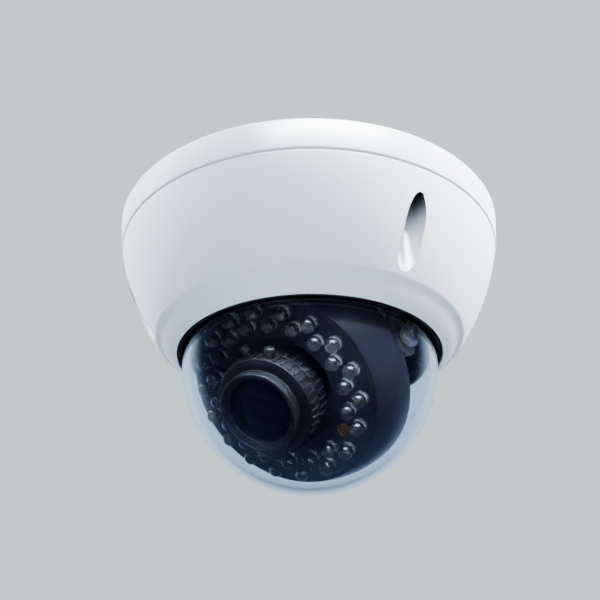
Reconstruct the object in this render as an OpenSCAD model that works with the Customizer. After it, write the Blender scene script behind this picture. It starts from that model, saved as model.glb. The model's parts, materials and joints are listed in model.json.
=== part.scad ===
// Ceiling dome camera: a cast base and cover, a clear bubble, and a varifocal lens with a ring of
// infra-red lamps that pans, tilts and rotates behind the bubble.
// Z is up and the ceiling face is z = 0, so everything hangs below it. The lens looks along -Y.

/* [Housing] */
// Diameter of the base where it meets the ceiling
base_d = 145; // [144:0.5:147]
// Height of the base band
base_h = 11.5; // [10.5:0.5:12]
// Gap between the base band and the cover
seam = 0.5; // [0.3:0.1:0.8]
// Thickness of the cast walls
wall = 3; // [2.6:0.1:3.2]
// Radius of the bow in the cover's side
bow_r = 88; // [86:1:92]
// Direction of the first cover screw, turned from +X
screw_turn = -21; // [-60:1:60]
// Width of each screw recess
recess_w = 8; // [7.4:0.1:8.6]

/* [Bubble] */
// Outer diameter of the clear bubble
bubble_d = 92.8; // [92.4:0.1:93]
// Thickness of the bubble
bubble_wall = 2.5; // [2:0.1:2.6]
// Depth of the bubble's centre, and of the tilt axis, below the ceiling
pivot_drop = 56.1; // [55.8:0.1:56.4]

/* [Aim] */
// Angle of the lens below the horizon
lens_tilt = 44; // [0:1:90]

/* [Lamps] */
// Lamps in each of the two rings
ring_lamps = 18; // [15:1:18]
// Radius of the outer ring of lamps
outer_ring_r = 29.5; // [29:0.1:29.8]
// Radius of the inner ring of lamps
inner_ring_r = 25.2; // [24.8:0.1:25.4]
// Diameter of a lamp
lamp_d = 5; // [4.6:0.1:5]
// Direction of the first lamp of the outer ring
lamp_turn = 40.3; // [0:0.1:180]
// Place in the inner ring that the photocell takes
photocell_place = 13; // [0:1:14]

/* [Lens] */
// Radius of the lens barrel's front ring
front_ring_r = 13.8; // [13:0.1:14]
// Radius of the zoom and focus rings
grip_r = 17.8; // [16:0.1:18]
// Ribs round each of the zoom and focus rings
grip_ribs = 40; // [20:1:48]

/* [Hidden] */
$fn = 96;
eps = 0.01;
// How far a cutting shape runs past the face that it opens
past = 1;

// Heights are distances below the ceiling, and their names end in _z
base_r = base_d / 2;
base_edge = 0.5;
plate_z = 3;
rim_z = base_h + seam;
shoulder_z = 46.4;
shoulder_drop = 0.9;
mouth_z = 53.47;
shoulder_r = 55;
mouth_r = 48.54;
bow_z = 4.5;
rim_inset = 1.3;
bow_x = base_r - rim_inset - sqrt(bow_r * bow_r - pow(rim_z + bow_z, 2));
band_taper = 0.9;
band_in_r = base_r - band_taper - wall;
seal_r = base_r - 1.4;
rib_half = 1;
rib_lip = 1.5;

// Cover screws, their recesses and the posts that they run into
screws = 3;
screw_at = 63.5;
screw_r = 2;
screw_head_r = 3.5;
recess_r = recess_w / 2;
recess_in = 61.5;
recess_out = 65.2;
recess_wall = 2;
recess_floor_z = 14.4;
post_r = 4.5;
post_gap = 0.1;
screw_seal_t = 0.8;
cover_screw_len = 11;
cover_head_t = 2.6;

// Ceiling screws and cable inlet
ceiling_screw_at = 53;
ceiling_hole_r = 2.6;
inlet_r = 10;
cable_r = 3.3;
grommet_lip = 2.2;
grommet_lip_t = 2;

// Interface board, its posts and plugs, and the drying pouch on the base
interface_z = 5;
interface_r = 33.4;
interface_edge = 14.5;
standoff_spots = [[-24, 19], [24, 19], [0, 30]];
standoff_r = 2;
standoff_in_r = 1.05;
small_screw_r = 1;
small_head_r = 1.9;
terminal_low = [-9, 17, -2.4];
terminal_high = [9, 23, 0];
terminal_pitch = 3;
terminals = 5;
pouch_low = [-15, -28, -7];
pouch_high = [15, -15, -plate_z];

// Bubble seat, from the mouth inwards
bubble_r = bubble_d / 2;
bubble_in_r = bubble_r - bubble_wall;
seat_z = 50.6;
gasket_t = 0.8;
flange_t = 2;
flange_r = 50.4;
seat_r = 50.6;
seat_top_z = 48.5;
flange_z = seat_z - gasket_t - flange_t;
clamp_r = 49.8;
clamp_in_r = 45.4;
clamp_top_z = 41.9;
lug_t = 1.6;
lug_at = 53.1;
lug_r = 2.2;
boss_r = 2.7;
clamp_screw_r = 1;
clamp_pilot_z = 46.6;
cone_foot = [54.2, 45.3];
cone_top_z = 44;
skirt_gap = 0.2;
skirt_up = 0.5;

// The liner is a thin black cone that hides the works from below
liner_low_r = 48.2;
liner_top_r = 53.2;
liner_t = 1.2;
liner_top_z = 15.5;

// Pan bearing
ledge_r = 38;
pan_ring_in_r = 42;
pan_ring_r = 48;
ledge_z = 6;
pan_ring_z = 9;
pan_screw_at = 45;
pan_screw_r = 1.25;
pan_head_r = 2.2;
pan_head_sunk = 2;
pan_pilot_z = 0.8;
retainer_gap = 0.4;
lock_at = 40.5;
lock_r = 1.5;
running_gap = 0.06;
side_gap = 0.3;
hub_in_r = 34.5;
hub_z = 5.7;
turntable_r = 44.6;
turntable_in_r = 14;
turntable_z = 11.8;

// Yoke arms, which carry the tilt axis
arm_in = 37;
arm_out = 40;
arm_half = 7;
arm_foot_t = 2;
arm_foot_in = 27;
tilt_pin_r = 2.5;
foot_screw_x = 31;
foot_screw_y = 4;

// Places along the lens axis, measured forwards from the tilt axis, end in _s
ear_in = 33.5;
ear_out = 36.7;
cradle_r = 30;
cradle_s = 10;
cradle_t = 2;
carrier_r = 20;
carrier_flange_r = 24.5;
carrier_flange_t = 2;
carrier_post_at = 22.4;
carrier_post_r = 1.9;
carrier_s = cradle_s + cradle_t + side_gap;
clip_r = 22.4;
clip_in_r = 15.6;
clip_t = 1.4;
cap_r = 41.5;
cap_wall = 1.6;
cap_back_s = 8;
face_s = 22.5;
face_t = 1.6;
face_r = 33.2;
face_in_r = 19;
board_t = 1.6;
lamp_board_r = 33;
lamp_board_s = face_s - face_t - 1 - board_t;
lamp_r = lamp_d / 2;
lamp_foot_r = lamp_r + 0.05;
lamp_hole_r = lamp_r + 0.1;
lamp_dome_s = 25.6;
half_step = 180 / ring_lamps;
photocell_r = 2.4;
photocell_rise = 0.6;
barrel_r = 14;
core_r = 12.4;
barrel_back_s = 9.2;
rear_bore_r = 6.5;
middle_bore_r = 8.6;
glass_r = 11.2;
glass_bow_r = 22;
glass_back_s = 33.1;
zoom_s = 23.8;
focus_s = 29.9;
grip_len = 5.6;
grip_depth = 0.6;
zoom_lever_turn = 100;
focus_lever_turn = 60;
lever_r = 1.6;
lever_len = 2.8;
front_s = 36.3;
front_len = 4.1;
sensor_s = 4;
main_s = -4;
board_half = 19;
pillar_at = 13;
pillar_r = 1.4;
nut_r = 1.8;
nut_t = 1.2;
filter_s = 6.6;
filter_t = 0.8;
filter_step = 9;
filter_r = 4;
menu_y = 12;
menu_half = 3;
menu_t = 2.4;

function mix(a, b, t) = a + (b - a) * t;

// Radius of the cover's side at a depth
function side_r(z) = bow_x + sqrt(bow_r * bow_r - pow(z + bow_z, 2));

// Points down the cover's side from one depth to another, moved in by a distance
function side_line(z0, z1, steps, inset) = [
    for (i = [0 : steps])
        let (z = mix(z0, z1, i / steps))
        [side_r(z) - inset, -z]
];

// The crowned ring between the cover's shoulder and its mouth
ring_steps = 6;
ring_crown = 0.3;
ring_line = [
    for (i = [0 : ring_steps])
        let (t = i / ring_steps, crown = ring_crown * sin(180 * t))
        [mix(shoulder_r, mouth_r, t) + crown * 0.66, -mix(shoulder_z + shoulder_drop, mouth_z, t) - crown * 0.75]
];
side_steps = 14;
outer_line = concat(side_line(rim_z, shoulder_z, side_steps, 0), ring_line);
inner_line = concat(
    [[mouth_r, -seat_z], [seat_r, -seat_z], [seat_r, -seat_top_z], [cone_foot[0], -cone_foot[1]]],
    side_line(cone_top_z, rim_z, side_steps, wall)
);

// Copies of a shape around the Z axis
module around(count, radius, turn = 0) {
    for (i = [0 : count - 1])
        rotate([0, 0, turn + 360 * i / count]) translate([radius, 0, 0]) children();
}

// A disc from one height to another
module disc(r, low, high) {
    translate([0, 0, low]) cylinder(h = high - low, r = r);
}

// A flat ring from one height to another
module ring(r_out, r_in, low, high) {
    difference() {
        disc(r_out, low, high);
        disc(r_in, low - eps, high + eps);
    }
}

// A box between two corners
module block(low, high) {
    translate(low) cube(high - low);
}

// An upright slot with round ends, running outwards along X
module racetrack(r, x_in, x_out, low, high) {
    translate([x_in, 0, 0]) disc(r, low, high);
    translate([x_out, 0, 0]) disc(r, low, high);
    block([x_in, -r, low], [x_out, r, high]);
}

// A screw seen from its head: the shank stands along +Z from the seat, the head hangs below it
module screw(shank_r, shank_len, head_r, head_len) {
    difference() {
        union() {
            disc(shank_r, 0, shank_len);
            disc(head_r, -head_len, 0);
        }
        disc(head_r * 0.45, -head_len - eps, -head_len * 0.4, $fn = 6);
    }
}

// Turns +Z into the lens direction and moves the origin to the tilt axis
module lens_space() {
    translate([0, 0, -pivot_drop]) rotate([90 + lens_tilt, 0, 0]) children();
}

// ---- Base, fixed to the ceiling ----

module base_casting() {
    color("gainsboro") difference() {
        union() {
            rotate_extrude() polygon([
                [0, 0], [base_r - base_edge, 0], [base_r, -base_edge], [base_r - band_taper, -base_h],
                [band_in_r, -base_h], [band_in_r, -plate_z], [0, -plate_z]
            ]);
            around(screws, screw_at, screw_turn) disc(post_r, -rim_z + post_gap, -plate_z + eps);
            around(screws, 0, screw_turn) base_rib();
        }
        around(screws, screw_at, screw_turn) disc(screw_r + running_gap, -rim_z, -plate_z - past / 2);
        around(screws, ceiling_screw_at, screw_turn + 60) disc(ceiling_hole_r, -plate_z - past, past);
        disc(inlet_r, -plate_z - past, past);
        around(screws, pan_screw_at, screw_turn + 20) disc(pan_screw_r, -plate_z - past, -pan_pilot_z);
    }
}

// Rib from a post out to the base's wall
module base_rib() {
    block(
        [screw_at + post_r - past, -rib_half, -base_h + rib_lip],
        [band_in_r + wall / 2, rib_half, -plate_z + eps]
    );
}

module base_seal() {
    color("lightgray") ring(seal_r, band_in_r, -rim_z + post_gap, -base_h);
}

module cable_grommet() {
    color("dimgray") difference() {
        union() {
            disc(inlet_r, -plate_z, 0);
            disc(inlet_r + grommet_lip, -plate_z - grommet_lip_t, -plate_z);
        }
        disc(cable_r, -plate_z - grommet_lip_t - past, past);
    }
}

module interface_board() {
    color("darkgreen") difference() {
        intersection() {
            disc(interface_r, -interface_z - board_t, -interface_z);
            block([-interface_r, interface_edge, -base_h], [interface_r, interface_r, 0]);
        }
        for (spot = standoff_spots)
            translate([spot[0], spot[1], 0]) disc(standoff_in_r, -base_h, 0);
    }
}

module board_standoffs() {
    color("goldenrod") for (spot = standoff_spots)
        translate([spot[0], spot[1], 0]) ring(standoff_r, standoff_in_r, -interface_z, -plate_z);
}

module board_screws() {
    color("silver") for (spot = standoff_spots)
        translate([spot[0], spot[1], -interface_z - board_t])
            screw(small_screw_r, board_t + 1.4, small_head_r, 1);
}

module terminal_block() {
    color("ivory") translate([0, 0, -interface_z - board_t]) difference() {
        block(terminal_low, terminal_high);
        for (i = [0 : terminals - 1])
            translate([(i - (terminals - 1) / 2) * terminal_pitch, terminal_low[1], 0])
                block([-1, -past, -2], [1, 1.5, -0.5]);
    }
}

module desiccant_pack() {
    color("whitesmoke") block(pouch_low, pouch_high);
}

module pan_ring() {
    color("dimgray") difference() {
        disc(pan_ring_r, -pan_ring_z, -plate_z);
        disc(ledge_r, -pan_ring_z - eps, -plate_z + eps);
        disc(pan_ring_in_r, -ledge_z, -plate_z + eps);
        around(screws, pan_screw_at, screw_turn + 20) {
            disc(pan_screw_r, -pan_ring_z - eps, -plate_z + eps);
            disc(pan_head_r + 0.2, -pan_ring_z - eps, -pan_ring_z + pan_head_sunk);
        }
    }
}

module pan_ring_screws() {
    color("silver") around(screws, pan_screw_at, screw_turn + 20)
        translate([0, 0, -pan_ring_z + pan_head_sunk]) screw(pan_screw_r, 6, pan_head_r, 1.6);
}

// ---- Cover, which comes off with the bubble ----

module cover_envelope() {
    rotate_extrude() polygon(concat([[0, -rim_z]], outer_line, [[0, -mouth_z]]));
}

module cover_shell() {
    color("gainsboro") difference() {
        union() {
            rotate_extrude() polygon(concat(outer_line, inner_line));
            intersection() {
                cover_envelope();
                around(screws, 0, screw_turn)
                    racetrack(recess_r + recess_wall, recess_in, recess_out, -shoulder_z, -rim_z);
            }
            intersection() {
                cover_envelope();
                around(screws, lug_at, screw_turn + 60)
                    disc(boss_r, -shoulder_z, -clamp_top_z - lug_t);
            }
        }
        around(screws, 0, screw_turn)
            racetrack(recess_r, recess_in, recess_out, -mouth_z, -recess_floor_z);
        around(screws, screw_at, screw_turn) disc(screw_r + side_gap, -recess_floor_z - past, -rim_z + past);
        around(screws, lug_at, screw_turn + 60) disc(clamp_screw_r, -clamp_pilot_z, -clamp_top_z);
    }
}

module cover_screws() {
    color("silver") around(screws, screw_at, screw_turn)
        translate([0, 0, -recess_floor_z - screw_seal_t])
            screw(screw_r, cover_screw_len, screw_head_r, cover_head_t);
}

module screw_seals() {
    color("black") around(screws, screw_at, screw_turn)
        ring(screw_head_r, screw_r, -recess_floor_z - screw_seal_t, -recess_floor_z);
}

module dome_gasket() {
    color("black") difference() {
        union() {
            disc(flange_r, -seat_z, -seat_z + gasket_t);
            disc(mouth_r - skirt_gap / 2, -mouth_z + skirt_up, -seat_z + eps);
        }
        disc(bubble_r + skirt_gap, -mouth_z, -seat_z + past);
    }
}

module dome_bubble() {
    color("lightblue", 0.4) difference() {
        union() {
            translate([0, 0, -pivot_drop]) sphere(bubble_r);
            disc(bubble_r, -pivot_drop, -flange_z);
            disc(flange_r, -flange_z - flange_t, -flange_z);
        }
        translate([0, 0, -pivot_drop]) sphere(bubble_in_r);
        disc(bubble_in_r, -pivot_drop, -flange_z + eps);
        disc(base_r, -flange_z, 0);
    }
}

module dome_clamp_ring() {
    color("black") difference() {
        union() {
            disc(clamp_r, -flange_z, -clamp_top_z);
            around(screws, 0, screw_turn + 60)
                racetrack(lug_r, clamp_in_r + lug_r, lug_at, -clamp_top_z - lug_t, -clamp_top_z);
        }
        disc(clamp_in_r, -flange_z - past, -clamp_top_z + past);
        around(screws, lug_at, screw_turn + 60) disc(clamp_screw_r, -flange_z, 0);
    }
}

module clamp_screws() {
    color("silver") around(screws, lug_at, screw_turn + 60)
        translate([0, 0, -clamp_top_z]) rotate([180, 0, 0]) screw(clamp_screw_r, 4.4, small_head_r, 1.2);
}

module inner_liner() {
    color("black") rotate_extrude() polygon([
        [liner_low_r - liner_t, -clamp_top_z], [liner_low_r, -clamp_top_z],
        [liner_top_r, -liner_top_z], [liner_top_r - liner_t, -liner_top_z]
    ]);
}

// ---- Pan stage ----

// Places of the screws that hold the yoke's feet
module foot_screw_places(sides) {
    for (side = sides)
        for (y = [-foot_screw_y, foot_screw_y])
            translate([side * foot_screw_x, y, 0]) children();
}

module pan_turntable() {
    color("dimgray") difference() {
        union() {
            disc(turntable_r, -turntable_z, -pan_ring_z - side_gap);
            ring(ledge_r - running_gap, hub_in_r, -pan_ring_z - side_gap - eps, -hub_z);
        }
        disc(turntable_in_r, -turntable_z - past, 0);
        foot_screw_places([-1, 1]) disc(small_screw_r, -turntable_z - past, 0);
        translate([0, lock_at, 0]) disc(lock_r + running_gap, -turntable_z - past, 0);
    }
}

module pan_retainer() {
    color("silver") ring(pan_ring_in_r - 2 * side_gap, hub_in_r, -hub_z, -plate_z - retainer_gap);
}

// One arm at +X: a foot under the turntable and a strap down to the tilt axis
module yoke_arm() {
    color("lightslategray") difference() {
        union() {
            block([arm_foot_in, -arm_half, -turntable_z - arm_foot_t], [arm_out, arm_half, -turntable_z]);
            block([arm_in, -arm_half, -pivot_drop], [arm_out, arm_half, -turntable_z - eps]);
            translate([arm_in, 0, -pivot_drop]) rotate([0, 90, 0]) disc(arm_half, 0, arm_out - arm_in);
        }
        translate([0, 0, -pivot_drop]) rotate([0, 90, 0]) disc(tilt_pin_r + running_gap, 0, base_r);
        foot_screw_places([1]) disc(small_screw_r, -turntable_z - arm_foot_t - past, 0);
    }
}

module yoke_right() {
    yoke_arm();
}

module yoke_left() {
    mirror([1, 0, 0]) yoke_arm();
}

module yoke_screws() {
    color("silver") foot_screw_places([-1, 1])
        translate([0, 0, -turntable_z - arm_foot_t]) screw(small_screw_r, 4, small_head_r, 1.3);
}

module pan_lock_screw() {
    color("silver") translate([0, lock_at, -turntable_z]) screw(lock_r, 2.4, 2.8, 2.6);
}

// ---- Tilt stage, in lens space ----

module tilt_cradle() {
    color("lightslategray") lens_space() difference() {
        union() {
            disc(cradle_r, cradle_s, cradle_s + cradle_t);
            block([-ear_out, -arm_half, cradle_s], [ear_out, arm_half, cradle_s + cradle_t]);
            for (side = [0, 1]) mirror([side, 0, 0]) {
                block([ear_in, -arm_half, 0], [ear_out, arm_half, cradle_s + eps]);
                translate([ear_in, 0, 0]) rotate([0, 90, 0]) disc(arm_half, 0, ear_out - ear_in);
            }
        }
        disc(carrier_r, 0, face_s);
        translate([-base_r, 0, 0]) rotate([0, 90, 0]) disc(tilt_pin_r, 0, base_d);
    }
}

module tilt_screws() {
    color("silver") for (side = [0, 1]) mirror([side, 0, 0])
        translate([arm_out + side_gap, 0, -pivot_drop]) rotate([0, -90, 0])
            screw(tilt_pin_r, arm_out + side_gap - ear_in, 4.4, 1.9);
}

// ---- Lens and lamp head, in lens space ----

module lens_carrier() {
    color("black") lens_space() difference() {
        union() {
            disc(carrier_r - running_gap, cradle_s - side_gap, carrier_s + eps);
            disc(carrier_flange_r, carrier_s, carrier_s + carrier_flange_t);
            around(4, carrier_post_at, 45) disc(carrier_post_r, carrier_s + eps, lamp_board_s);
        }
        disc(barrel_r, 0, face_s);
    }
}

module rotation_clip() {
    color("dimgray") lens_space() ring(clip_r, clip_in_r, cradle_s - side_gap - clip_t, cradle_s - side_gap);
}

module eyeball_cap() {
    color([0.04, 0.04, 0.05]) lens_space() difference() {
        intersection() {
            sphere(cap_r);
            disc(cap_r + past, cap_back_s, face_s);
        }
        intersection() {
            sphere(cap_r - cap_wall);
            disc(cap_r, 0, face_s - face_t);
        }
        disc(face_r, face_s - face_t - eps, face_s + past);
    }
}

// Each child at every place of a lamp ring, but not at the place left out
module lamp_places(radius, turn, left_out) {
    for (i = [0 : ring_lamps - 1])
        if (i != left_out)
            rotate([0, 0, turn + 360 * i / ring_lamps]) translate([radius, 0, 0]) children();
}

module face_plate() {
    color([0.06, 0.06, 0.07]) lens_space() difference() {
        ring(face_r, face_in_r, face_s - face_t, face_s);
        lamp_places(outer_ring_r, lamp_turn, -1) disc(lamp_hole_r, 0, face_s + past);
        lamp_places(inner_ring_r, lamp_turn + half_step, -1) disc(lamp_hole_r, 0, face_s + past);
    }
}

module lamp_board() {
    color("darkgreen") lens_space() ring(lamp_board_r, face_in_r, lamp_board_s, lamp_board_s + board_t);
}

// A round-topped lamp with a small flange that stands on the lamp board
module lamp() {
    disc(lamp_foot_r, lamp_board_s + board_t, face_s - face_t);
    disc(lamp_r, face_s - face_t - eps, lamp_dome_s);
    translate([0, 0, lamp_dome_s]) sphere(lamp_r);
}

module outer_lamps() {
    color("lavender", 0.8) lens_space() lamp_places(outer_ring_r, lamp_turn, -1) lamp();
}

module inner_lamps() {
    color("lavender", 0.8) lens_space()
        lamp_places(inner_ring_r, lamp_turn + half_step, photocell_place) lamp();
}

module photocell() {
    color("saddlebrown") lens_space()
        rotate([0, 0, lamp_turn + half_step + photocell_place * 2 * half_step])
            translate([inner_ring_r, 0, 0]) 
                disc(photocell_r, lamp_board_s + board_t, face_s + photocell_rise);
}

module lamp_socket() {
    color("ivory") lens_space() block([-4, 25, lamp_board_s - 3], [4, 29, lamp_board_s]);
}

module lens_barrel() {
    color([0.05, 0.05, 0.06]) lens_space() difference() {
        union() {
            disc(barrel_r, barrel_back_s, zoom_s - side_gap);
            disc(core_r, zoom_s - side_gap - eps, front_s);
        }
        disc(rear_bore_r, 0, 20);
        disc(middle_bore_r, 15, 30);
        disc(glass_r, 28, front_s + past);
    }
}

module lens_front_ring() {
    color([0.05, 0.05, 0.06]) lens_space() difference() {
        disc(front_ring_r, front_s, front_s + front_len);
        disc(glass_r, front_s - past, front_s + front_len - 1);
        translate([0, 0, front_s + front_len - 1.6]) cylinder(h = 2, r1 = glass_r - 1, r2 = glass_r + 1.2);
    }
}

module front_element() {
    color("steelblue", 0.6) lens_space() intersection() {
        disc(glass_r, glass_back_s, front_s + front_len - 1.2);
        translate([0, 0, front_s + front_len - 1.3 - glass_bow_r]) sphere(glass_bow_r);
    }
}

module inner_elements() {
    color("steelblue", 0.6) lens_space() {
        disc(middle_bore_r, 24, 27);
        disc(rear_bore_r, 11, 13.4);
    }
}

module iris_plate() {
    color("black") lens_space() ring(middle_bore_r, 2.2, 19.2, 19.8);
}

module lens_mount() {
    color("black") lens_space() difference() {
        block([-11, -11, sensor_s + board_t], [11, 11, barrel_back_s]);
        disc(8, sensor_s, face_s);
        block([-12, -5.3, filter_s - 0.2], [12, 5.3, filter_s + filter_t + 0.2]);
    }
}

// A square circuit board with four pillar holes
module square_board(s) {
    difference() {
        block([-board_half, -board_half, s], [board_half, board_half, s + board_t]);
        for (x = [-pillar_at, pillar_at])
            for (y = [-pillar_at, pillar_at])
                translate([x, y, 0]) disc(small_screw_r, s - past, s + board_t + past);
    }
}

module sensor_board() {
    color("darkgreen") lens_space() square_board(sensor_s);
}

module image_sensor() {
    color("slategray") lens_space()
        block([-3.6, -3.6, sensor_s + board_t], [3.6, 3.6, sensor_s + board_t + 0.7]);
}

module board_pillars() {
    color("goldenrod") lens_space()
        for (x = [-pillar_at, pillar_at])
            for (y = [-pillar_at, pillar_at])
                translate([x, y, 0]) {
                    disc(pillar_r, sensor_s + board_t, cradle_s - side_gap - clip_t);
                    disc(small_screw_r, main_s - nut_t, sensor_s + board_t + eps);
                    ring(pillar_r, small_screw_r - eps, main_s + board_t, sensor_s);
                    ring(nut_r, small_screw_r - eps, main_s - nut_t, main_s);
                }
}

module main_board() {
    color("darkgreen") lens_space() square_board(main_s);
}

module processor_chips() {
    color([0.12, 0.12, 0.13]) lens_space() {
        block([-8, -8, main_s - 1.4], [4, 4, main_s]);
        block([6.5, -6, main_s - 1.2], [11, 2, main_s]);
        block([-9, -2.5, main_s + board_t], [9, 2.5, main_s + board_t + 2.2]);
    }
}

module filter_coil() {
    color("chocolate") lens_space() block([-5, 11.2, sensor_s + board_t], [5, 15.4, cradle_s - 2]);
}

module menu_switch() {
    color("silver") lens_space() difference() {
        block([-menu_half, menu_y - menu_half, main_s - menu_t], [menu_half, menu_y + menu_half, main_s]);
        translate([0, menu_y, 0]) disc(1.6, main_s - menu_t - past, main_s - 0.6);
    }
}

// ---- Rings, levers, filter and button that move on the lens head ----

module grip_ring(s) {
    difference() {
        disc(grip_r - grip_depth, s, s + grip_len);
        disc(core_r + running_gap, s - past, s + grip_len + past);
        translate([grip_r - 3, 0, s + grip_len / 2]) rotate([0, 90, 0]) disc(small_screw_r, 0, 5);
    }
    difference() {
        for (i = [1 : grip_ribs - 1])
            rotate([0, 0, 360 * i / grip_ribs])
                block([grip_r - 1, -0.5, s + 0.5], [grip_r, 0.5, s + grip_len - 0.5]);
        disc(grip_r - grip_depth - eps, s - past, s + grip_len + past);
    }
}

// A thumb screw that stands out of a ring at local +X
module ring_lever(s) {
    translate([0, 0, s + grip_len / 2]) rotate([0, 90, 0]) {
        disc(small_screw_r, grip_r - 3, grip_r);
        disc(lever_r, grip_r, grip_r + lever_len);
    }
}

module zoom_ring() {
    color([0.07, 0.07, 0.08]) lens_space() rotate([0, 0, zoom_lever_turn]) grip_ring(zoom_s);
}

module zoom_lever() {
    color("silver") lens_space() rotate([0, 0, zoom_lever_turn]) ring_lever(zoom_s);
}

module focus_ring() {
    color([0.07, 0.07, 0.08]) lens_space() rotate([0, 0, focus_lever_turn]) grip_ring(focus_s);
}

module focus_lever() {
    color("silver") lens_space() rotate([0, 0, focus_lever_turn]) ring_lever(focus_s);
}

module filter_carrier() {
    color("black") lens_space() difference() {
        block([-6, -5, filter_s], [filter_step + 6, 5, filter_s + filter_t]);
        for (x = [0, filter_step])
            translate([x, 0, 0]) disc(filter_r, filter_s - past, filter_s + filter_t + past);
    }
}

module filter_glass() {
    color("firebrick", 0.5) lens_space()
        for (x = [0, filter_step])
            translate([x, 0, 0]) disc(filter_r, filter_s + 0.1, filter_s + filter_t - 0.1);
}

module menu_button() {
    color("black") lens_space() translate([0, menu_y, 0]) disc(1.5, main_s - 4, main_s - 1.2);
}

base_casting();
base_seal();
cable_grommet();
interface_board();
board_standoffs();
board_screws();
terminal_block();
desiccant_pack();
pan_ring();
pan_ring_screws();
cover_shell();
cover_screws();
screw_seals();
dome_gasket();
dome_bubble();
dome_clamp_ring();
clamp_screws();
inner_liner();
pan_turntable();
pan_retainer();
yoke_left();
yoke_right();
yoke_screws();
pan_lock_screw();
tilt_cradle();
tilt_screws();
lens_carrier();
rotation_clip();
eyeball_cap();
face_plate();
lamp_board();
outer_lamps();
inner_lamps();
photocell();
lamp_socket();
lens_barrel();
front_element();
inner_elements();
iris_plate();
lens_front_ring();
lens_mount();
sensor_board();
image_sensor();
board_pillars();
main_board();
processor_chips();
filter_coil();
menu_switch();
zoom_ring();
zoom_lever();
focus_ring();
focus_lever();
filter_carrier();
filter_glass();
menu_button();
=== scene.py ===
"""Looks of the ceiling dome camera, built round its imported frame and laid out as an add-on."""
import json
import math

import bmesh
import bpy
from bpy.props import FloatProperty, FloatVectorProperty, IntProperty, PointerProperty
from mathutils import Matrix, Vector


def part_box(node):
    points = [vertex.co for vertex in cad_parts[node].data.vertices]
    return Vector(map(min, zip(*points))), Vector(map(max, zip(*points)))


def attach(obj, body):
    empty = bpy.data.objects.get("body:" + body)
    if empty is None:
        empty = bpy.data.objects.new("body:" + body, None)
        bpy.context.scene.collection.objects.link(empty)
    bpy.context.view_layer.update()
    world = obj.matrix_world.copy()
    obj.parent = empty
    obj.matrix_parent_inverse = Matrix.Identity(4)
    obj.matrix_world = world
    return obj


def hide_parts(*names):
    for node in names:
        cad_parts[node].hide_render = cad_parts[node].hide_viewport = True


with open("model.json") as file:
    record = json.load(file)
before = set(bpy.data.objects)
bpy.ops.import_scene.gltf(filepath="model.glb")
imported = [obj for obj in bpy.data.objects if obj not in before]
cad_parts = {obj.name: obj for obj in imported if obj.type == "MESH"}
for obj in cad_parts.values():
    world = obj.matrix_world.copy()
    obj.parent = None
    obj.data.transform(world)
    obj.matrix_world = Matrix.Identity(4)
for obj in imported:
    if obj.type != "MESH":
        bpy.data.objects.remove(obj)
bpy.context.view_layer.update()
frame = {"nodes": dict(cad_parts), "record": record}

bl_info = {
    "name": "Dome camera",
    "version": (1, 0, 0),
    "blender": (4, 5, 0),
    "location": "3D View > Sidebar > Dome",
    "description": "Builds the visible pieces and finishes of a ceiling dome camera",
    "category": "Object",
}

MM = 0.001
TURN = 2 * math.pi
# Depths where the painted shade up the screw recesses starts and where it is darkest
WELL_SHADE_START = -0.036
WELL_SHADE_FULL = -0.016


def low(node):
    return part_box(node)[0]


def high(node):
    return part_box(node)[1]


# Sizes and colours that a user would change


def length(name, description, millimetres):
    return FloatProperty(name=name, description=description, default=millimetres * MM, unit="LENGTH")


def turn(name, description, degrees):
    return FloatProperty(name=name, description=description, default=math.radians(degrees), unit="ROTATION")


def colour(name, description, default):
    return FloatVectorProperty(
        name=name, description=description, default=default, size=3, subtype="COLOR", min=0, max=1
    )


class HousingSizes(bpy.types.PropertyGroup):
    wall: length("Wall", "Thickness of the cast walls", 3)
    plate: length("Plate", "Thickness of the base plate", 3)
    taper: length("Taper", "How much the base band narrows downwards", 0.9)
    bow: length("Bow", "Radius of the curve in the cover's side", 88)
    bow_rise: length("Bow rise", "Height of that curve's centre above the ceiling", 4.5)
    rim_inset: length("Rim inset", "How far the cover's rim stands in from the ceiling face's edge", 1.3)
    shoulder_depth: length("Shoulder depth", "Depth of the line where the side ends", 46.4)
    shoulder_drop: length("Shoulder drop", "Height of the narrow facet under the side", 0.9)
    shoulder: length("Shoulder", "Radius where the crowned ring starts", 55)
    mouth: length("Mouth", "Radius of the cover's mouth", 48.54)
    seat_depth: length("Seat depth", "Depth of the ledge that carries the bubble", 50.6)
    edge: length("Edge", "Rounding of the painted edges", 0.45)
    screw_circle: length("Screw circle", "Radius at which the cover screws stand", 63.5)
    screw_turn: turn("Screw turn", "Direction of the first cover screw from +X", -21)
    recess: length("Recess", "Half the width of a screw recess", 4)
    recess_in: length("Recess inside", "Radius where a recess's inner end is centred", 61.5)
    recess_out: length("Recess outside", "Radius where a recess's outer end is centred", 65.2)
    recess_floor: length("Recess floor", "Depth of the seat under a cover screw's head", 14.4)
    ceiling_circle: length("Ceiling screw circle", "Radius at which the ceiling screws stand", 53)
    ceiling_hole: length("Ceiling hole", "Radius of a ceiling screw hole", 2.6)
    inlet: length("Inlet", "Radius of the cable inlet in the plate", 10)


class BubbleSizes(bpy.types.PropertyGroup):
    radius: length("Radius", "Outer radius of the bubble", 46.4)
    wall: length("Wall", "Thickness of the bubble", 2.5)
    centre_depth: length("Centre depth", "Depth of the bubble's centre and of the tilt axis", 56.1)
    flange: length("Flange", "Radius of the bubble's flange", 50.4)
    flange_wall: length("Flange thickness", "Thickness of the bubble's flange", 2)


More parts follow.
